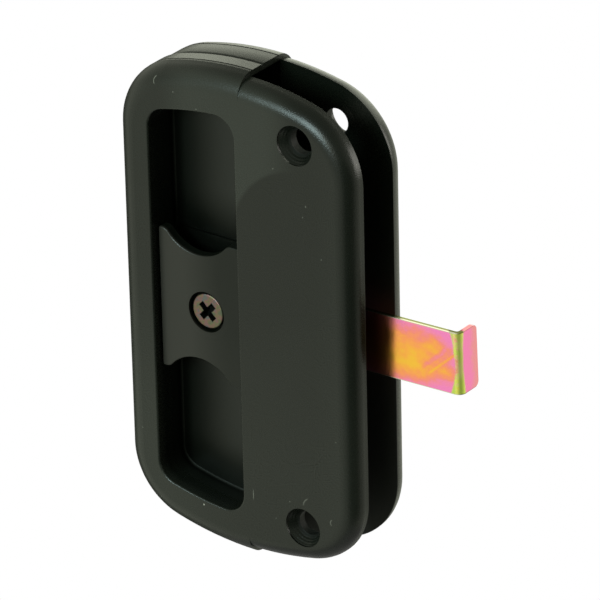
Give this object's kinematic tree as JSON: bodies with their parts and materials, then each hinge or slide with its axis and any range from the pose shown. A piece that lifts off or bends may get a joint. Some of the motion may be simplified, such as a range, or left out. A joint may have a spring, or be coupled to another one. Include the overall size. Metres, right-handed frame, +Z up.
{
  "type": "door latch and pull",
  "caption": "Sliding screen door latch and pull: two halves with finger cups clamp the door's stile, and a thumb slide on each face moves a bent steel hook up and down.",
  "frame": {"origin": "midway between the two mounting holes, on the front plate's clamping face, which meets the door's stile", "axes": "+X across the face towards the hook, +Y from the front face into the door, +Z up"},
  "size_m": [0.0864, 0.0206, 0.1182],
  "materials": {
    "black_plastic": "black moulded plastic with a fine matte texture",
    "slider_plastic": "black moulded plastic, smoother than the housings",
    "plated_steel": "yellow zinc plated steel with pink, orange and green iridescence",
    "screw_steel": "yellow zinc plated steel, dulled"
  },
  "bodies": {
    "housing": {"front_housing": "black_plastic", "rear_housing": "black_plastic"},
    "latch": {"front_slider": "slider_plastic", "rear_slider": "slider_plastic", "hook_strip": "plated_steel", "slider_screw": "screw_steel"}
  },
  "joints": [
    {"name": "latch_slide", "type": "slide", "parent": "housing", "child": "latch", "axis": [0, 0, 1], "range_m": [-0.003, 0.006]}
  ]
}
